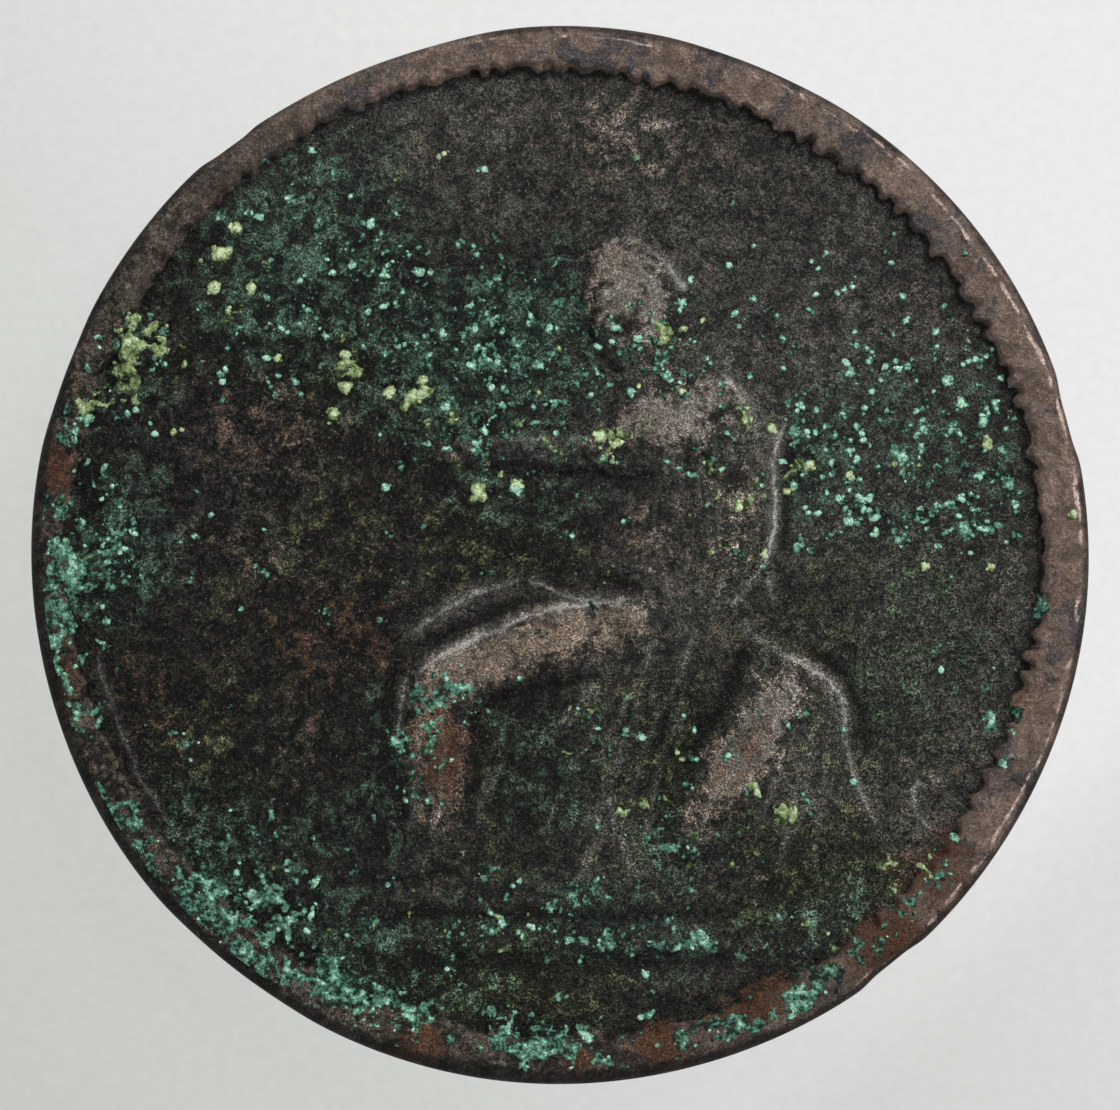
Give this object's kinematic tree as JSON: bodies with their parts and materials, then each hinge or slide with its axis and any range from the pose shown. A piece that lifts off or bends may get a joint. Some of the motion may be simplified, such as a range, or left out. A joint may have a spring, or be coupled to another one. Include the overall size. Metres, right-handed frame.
{
  "type": "struck token",
  "caption": "Round struck copper token with a raised toothed rim on both faces, a worn seated figure in low relief, a worn wreath on the back and green corrosion.",
  "frame": {"origin": "centre of the circle that the token rests on, in the plane of its back rim", "axes": "+Z out of the front face, +Y from the token's centre towards the figure's head, +X to the viewer's right"},
  "size_m": [0.0285, 0.0284, 0.0021],
  "materials": {
    "copper": "worn and toned dark brown, with brown highs and rubbed rim",
    "teal_verdigris": "dry powdery blue-green corrosion",
    "pale_verdigris": "dry waxy yellow-green corrosion"
  },
  "bodies": {
    "root": {"token_body": "copper", "teal_verdigris": "teal_verdigris", "pale_verdigris": "pale_verdigris"}
  },
  "joints": []
}
